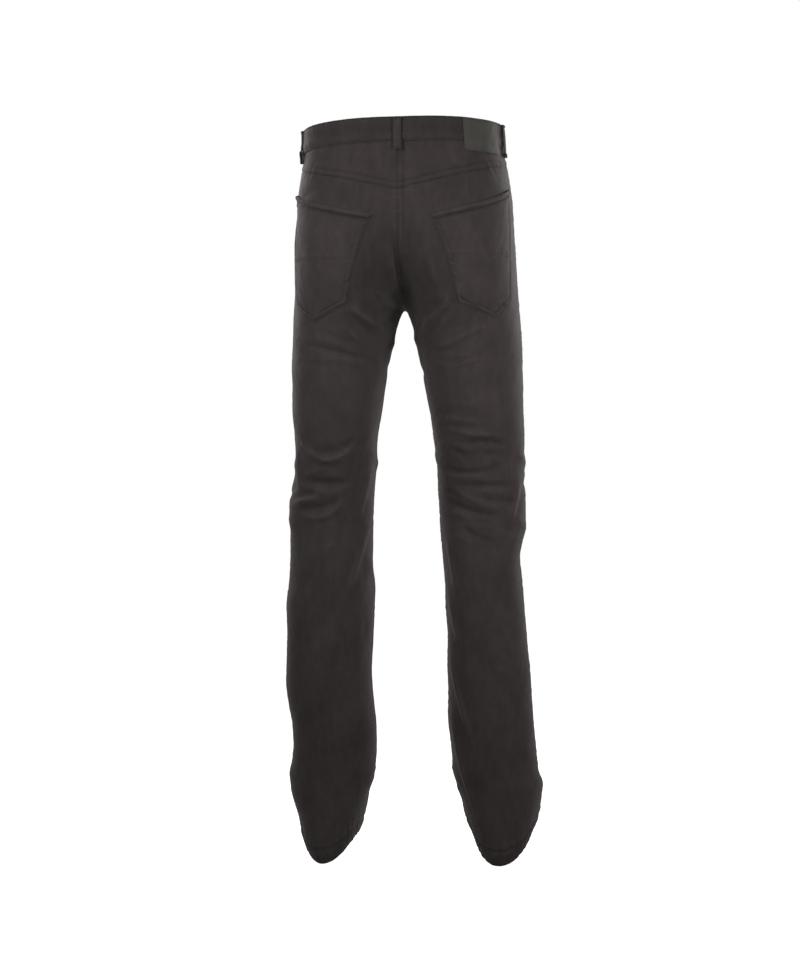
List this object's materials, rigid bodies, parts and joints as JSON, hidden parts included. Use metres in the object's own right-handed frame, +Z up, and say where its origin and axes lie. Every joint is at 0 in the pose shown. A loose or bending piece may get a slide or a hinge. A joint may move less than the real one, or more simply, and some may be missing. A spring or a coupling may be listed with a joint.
{
  "type": "knit trousers",
  "caption": "Black knit trousers in a jeans cut, worn shape with no wearer: yoke, patch pockets, belt loops, a bare back patch.",
  "frame": {"origin": "centre of the waistband at its mid-height at the sides, where the wearer's waist holds the garment up", "axes": "+Z up along the legs, the front faces -Y, the wearer's left is +X"},
  "size_m": [0.3741, 0.2472, 1.0777],
  "materials": {
    "knit": "compact heavy knit, nearly black and slightly warm, with a fine nap and a soft sheen at the edges",
    "leatherette": "dark leatherette, a little lighter than the cloth, finely grained, satin",
    "metal": "dark gunmetal, satin"
  },
  "bodies": {
    "root": {"front_left": "knit", "front_right": "knit", "back_left": "knit", "back_right": "knit", "yoke_left": "knit", "yoke_right": "knit", "waistband_left": "knit", "waistband_right": "knit", "pocket_left": "knit", "pocket_right": "knit", "belt_loop_back": "knit", "belt_loop_side_left": "knit", "belt_loop_side_right": "knit", "belt_loop_front_left": "knit", "belt_loop_front_right": "knit", "patch": "leatherette", "waist_button": "metal"}
  },
  "joints": []
}
